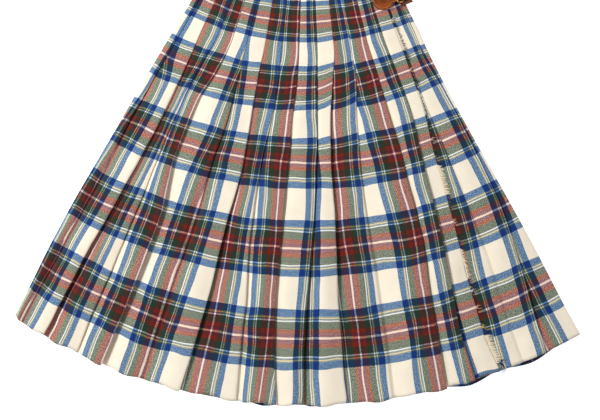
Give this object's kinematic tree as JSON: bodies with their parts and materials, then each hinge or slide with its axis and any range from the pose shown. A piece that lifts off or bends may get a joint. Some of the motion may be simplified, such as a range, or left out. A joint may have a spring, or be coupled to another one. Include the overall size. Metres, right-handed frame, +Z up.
{
  "type": "checked pleated wrap skirt laid flat",
  "caption": "Long checked wool wrap skirt with knife pleats, a fringed wrap edge and a leather strap and buckle, laid flat with its front up.",
  "frame": {"origin": "centre of the skirt's outline on the surface that it lies on", "axes": "+Z up from the surface, +Y from the hem to the waistband, +X to the wrap edge's side"},
  "size_m": [1.0297, 0.8452, 0.0219],
  "materials": {
    "wool": "matte",
    "band": "matte",
    "fringe": "matte",
    "strap_leather": "satin",
    "tab_leather": "satin",
    "brass": "satin"
  },
  "bodies": {
    "root": {"back_panel": "wool", "under_apron": "wool", "over_apron": "wool", "waistband": "band", "wrap_fringe": "fringe", "strap": "strap_leather", "buckle_tab": "tab_leather", "buckle_loop": "tab_leather", "buckle_frame": "brass", "buckle_prong": "brass"}
  },
  "joints": []
}
